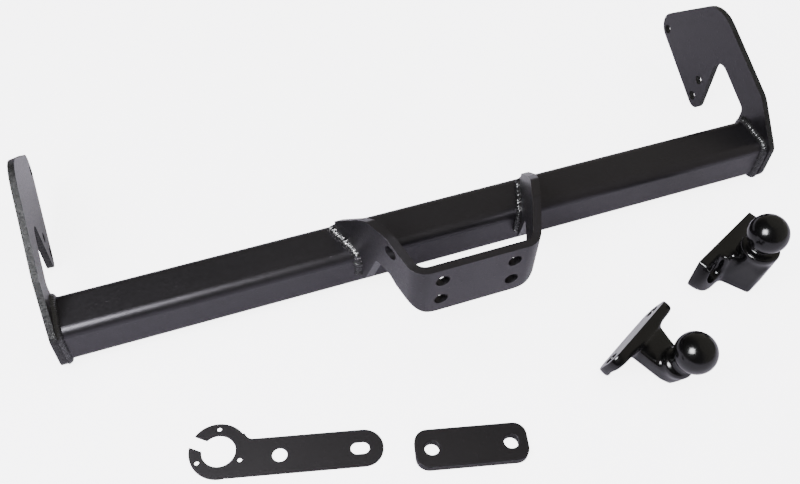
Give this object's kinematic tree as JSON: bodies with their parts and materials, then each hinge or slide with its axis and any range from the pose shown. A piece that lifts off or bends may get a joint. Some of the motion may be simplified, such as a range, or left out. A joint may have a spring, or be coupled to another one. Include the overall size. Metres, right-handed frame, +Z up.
{
  "type": "flange tow bar kit",
  "caption": "Welded cross tube with hooked side arms and a splayed ball bracket, with loose flange tow balls, socket plate and spacer plate.",
  "frame": {"origin": "centre of the four-hole pattern on the front of the ball bracket's face", "axes": "+X along the cross tube towards the right side arm, -Y out of the ball face, +Z up"},
  "size_m": [0.9594, 0.5646, 0.1663],
  "materials": {
    "powder_coat": "satin black powder coat",
    "weld_metal": "painted weld bead with bare specks",
    "gloss_enamel": "gloss black enamel",
    "plate_coat": "semi-matt black coat"
  },
  "bodies": {
    "tow_bar": {"cross_tube": "powder_coat", "left_side_arm": "powder_coat", "right_side_arm": "powder_coat", "ball_bracket": "powder_coat", "left_arm_weld": "weld_metal", "right_arm_weld": "weld_metal", "left_leg_outer_weld": "weld_metal", "left_leg_inner_weld": "weld_metal", "right_leg_outer_weld": "weld_metal", "right_leg_inner_weld": "weld_metal"},
    "standard_ball": {"standard_tow_ball": "gloss_enamel"},
    "long_neck_ball": {"long_neck_tow_ball": "gloss_enamel"},
    "socket_mount": {"socket_plate": "plate_coat"},
    "spacer": {"spacer_plate": "plate_coat"}
  },
  "joints": [
    {"name": "standard_ball_lift", "type": "slide", "parent": "tow_bar", "child": "standard_ball", "axis": [0, 0, 1], "range_m": [0, 0.2]},
    {"name": "long_neck_ball_lift", "type": "slide", "parent": "tow_bar", "child": "long_neck_ball", "axis": [0, 0, 1], "range_m": [0, 0.2]},
    {"name": "socket_plate_lift", "type": "slide", "parent": "tow_bar", "child": "socket_mount", "axis": [0, 0, 1], "range_m": [0, 0.2]},
    {"name": "spacer_plate_lift", "type": "slide", "parent": "tow_bar", "child": "spacer", "axis": [0, 0, 1], "range_m": [0, 0.2]}
  ]
}
